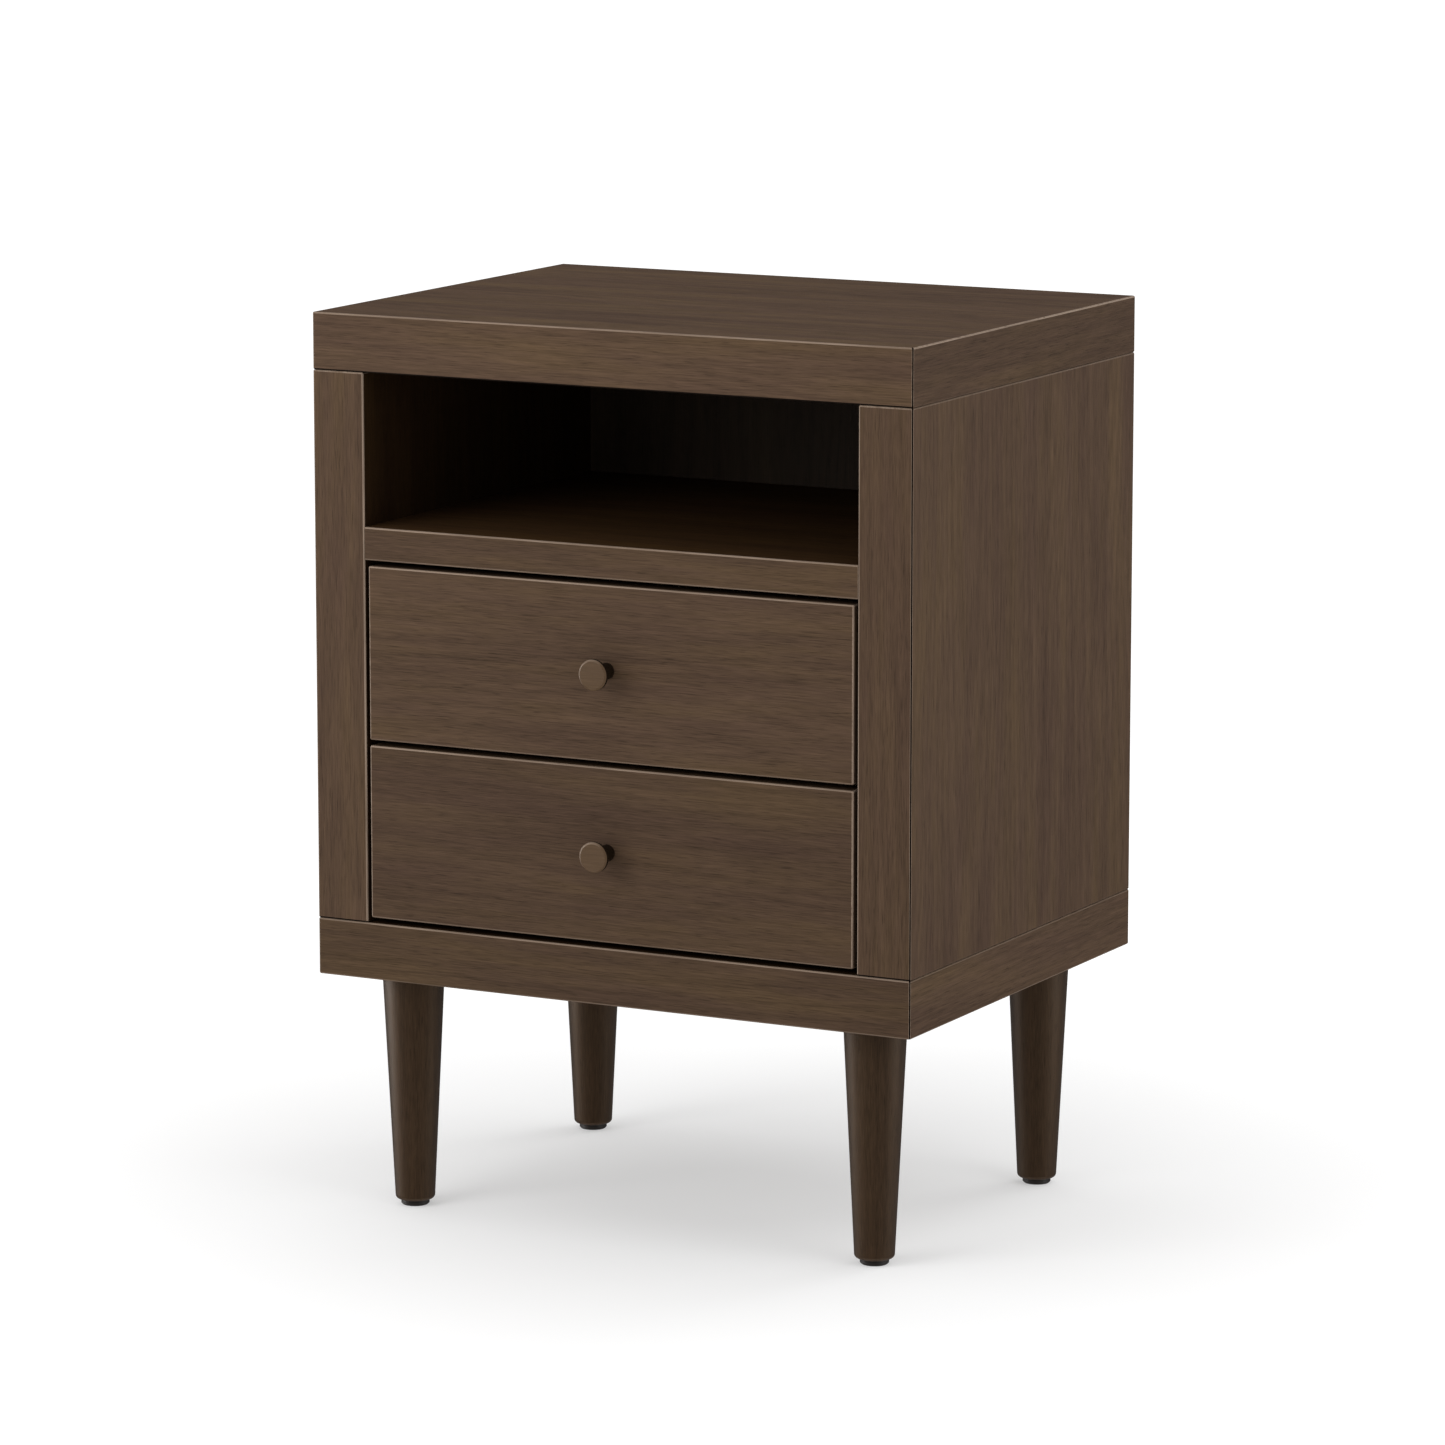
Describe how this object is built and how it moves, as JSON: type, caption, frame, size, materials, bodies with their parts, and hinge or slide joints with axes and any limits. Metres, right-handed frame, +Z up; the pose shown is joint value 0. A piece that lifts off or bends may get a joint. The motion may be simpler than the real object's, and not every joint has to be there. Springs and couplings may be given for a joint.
{
  "type": "nightstand",
  "caption": "Bedside cabinet with an open cubby over sliding drawers on ball-bearing runners, round knobs and turned tapered legs.",
  "frame": {"origin": "on the floor, at the centre of the footprint of the whole object, knobs included", "axes": "+X to the right as seen from the front, +Y from the front towards the back, +Z up; the drawers open along -Y"},
  "size_m": [0.46, 0.376, 0.635],
  "materials": {
    "walnut": "satin",
    "walnut_turned": "satin",
    "knob_wood": "satin",
    "back_board": "matte",
    "box_beech": "satin",
    "box_plywood": "satin",
    "dowel_beech": "matte",
    "runner_steel": "satin",
    "zinc_screws": "satin",
    "bearing_steel": "polished",
    "bumper_rubber": "matte",
    "glide_plastic": "matte"
  },
  "bodies": {
    "carcass": {"top_panel": "walnut", "left_side_panel": "walnut", "right_side_panel": "walnut", "base_panel": "walnut", "cubby_shelf": "walnut", "back_panel": "back_board", "top_dowels": "dowel_beech", "base_dowels": "dowel_beech", "shelf_dowels": "dowel_beech", "leg_hanger_bolts": "zinc_screws", "leg_insert_nuts": "zinc_screws", "foot_glides": "glide_plastic", "front_left_leg": "walnut_turned", "front_right_leg": "walnut_turned", "back_left_leg": "walnut_turned", "back_right_leg": "walnut_turned", "upper_left_cabinet_runner": "runner_steel", "upper_right_cabinet_runner": "runner_steel", "lower_left_cabinet_runner": "runner_steel", "lower_right_cabinet_runner": "runner_steel", "cabinet_runner_screws": "zinc_screws", "runner_bumpers": "bumper_rubber"},
    "upper_drawer": {"upper_drawer_front": "walnut", "upper_box_front": "box_beech", "upper_box_back": "box_beech", "upper_box_left_side": "box_beech", "upper_box_right_side": "box_beech", "upper_drawer_bottom": "box_plywood", "upper_knob": "knob_wood", "upper_knob_screw": "zinc_screws", "upper_front_screws": "zinc_screws", "upper_left_drawer_runner": "runner_steel", "upper_right_drawer_runner": "runner_steel", "upper_drawer_runner_screws": "zinc_screws"},
    "lower_drawer": {"lower_drawer_front": "walnut", "lower_box_front": "box_beech", "lower_box_back": "box_beech", "lower_box_left_side": "box_beech", "lower_box_right_side": "box_beech", "lower_drawer_bottom": "box_plywood", "lower_knob": "knob_wood", "lower_knob_screw": "zinc_screws", "lower_front_screws": "zinc_screws", "lower_left_drawer_runner": "runner_steel", "lower_right_drawer_runner": "runner_steel", "lower_drawer_runner_screws": "zinc_screws"},
    "upper_ball_cages": {"upper_left_ball_cage": "runner_steel", "upper_right_ball_cage": "runner_steel", "upper_left_balls": "bearing_steel", "upper_right_balls": "bearing_steel"},
    "lower_ball_cages": {"lower_left_ball_cage": "runner_steel", "lower_right_ball_cage": "runner_steel", "lower_left_balls": "bearing_steel", "lower_right_balls": "bearing_steel"}
  },
  "joints": [
    {"name": "upper_drawer_slide", "type": "slide", "parent": "carcass", "child": "upper_drawer", "axis": [0, -1, 0], "range_m": [0, 0.225]},
    {"name": "lower_drawer_slide", "type": "slide", "parent": "carcass", "child": "lower_drawer", "axis": [0, -1, 0], "range_m": [0, 0.225]},
    {"name": "upper_cage_slide", "type": "slide", "parent": "carcass", "child": "upper_ball_cages", "axis": [0, -1, 0], "range_m": [0, 0.1125]},
    {"name": "lower_cage_slide", "type": "slide", "parent": "carcass", "child": "lower_ball_cages", "axis": [0, -1, 0], "range_m": [0, 0.1125]}
  ],
  "couplings": [
    {"joint": "upper_cage_slide", "follows": "upper_drawer_slide", "ratio": 0.5},
    {"joint": "lower_cage_slide", "follows": "lower_drawer_slide", "ratio": 0.5}
  ]
}
